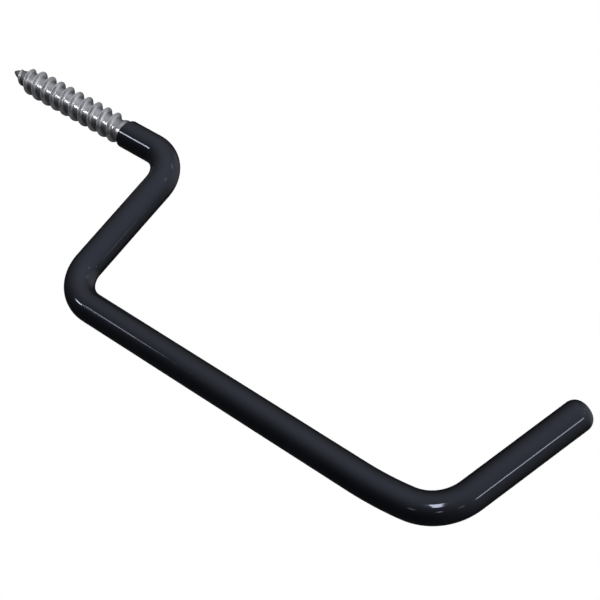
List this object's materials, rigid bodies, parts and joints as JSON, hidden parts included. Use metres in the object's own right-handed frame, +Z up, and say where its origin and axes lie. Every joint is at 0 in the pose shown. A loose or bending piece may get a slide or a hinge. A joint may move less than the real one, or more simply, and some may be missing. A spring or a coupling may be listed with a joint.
{
  "type": "screw-in storage hook",
  "caption": "Vinyl-coated bent steel hook with a wood-screw thread for its mount and a long cradle arm with an upturned tip.",
  "frame": {"origin": "on the screw's axis, where the vinyl coat starts and meets the wall", "axes": "+X out of the wall along the screw, +Z up when the hook is in use, so the tip turns up towards +Z"},
  "size_m": [0.2425, 0.01, 0.0678],
  "materials": {
    "zinc_plated_steel": "bright zinc plate",
    "black_vinyl": "glossy dip-moulded vinyl"
  },
  "bodies": {
    "root": {"steel_hook": "zinc_plated_steel", "vinyl_coating": "black_vinyl"}
  },
  "joints": []
}
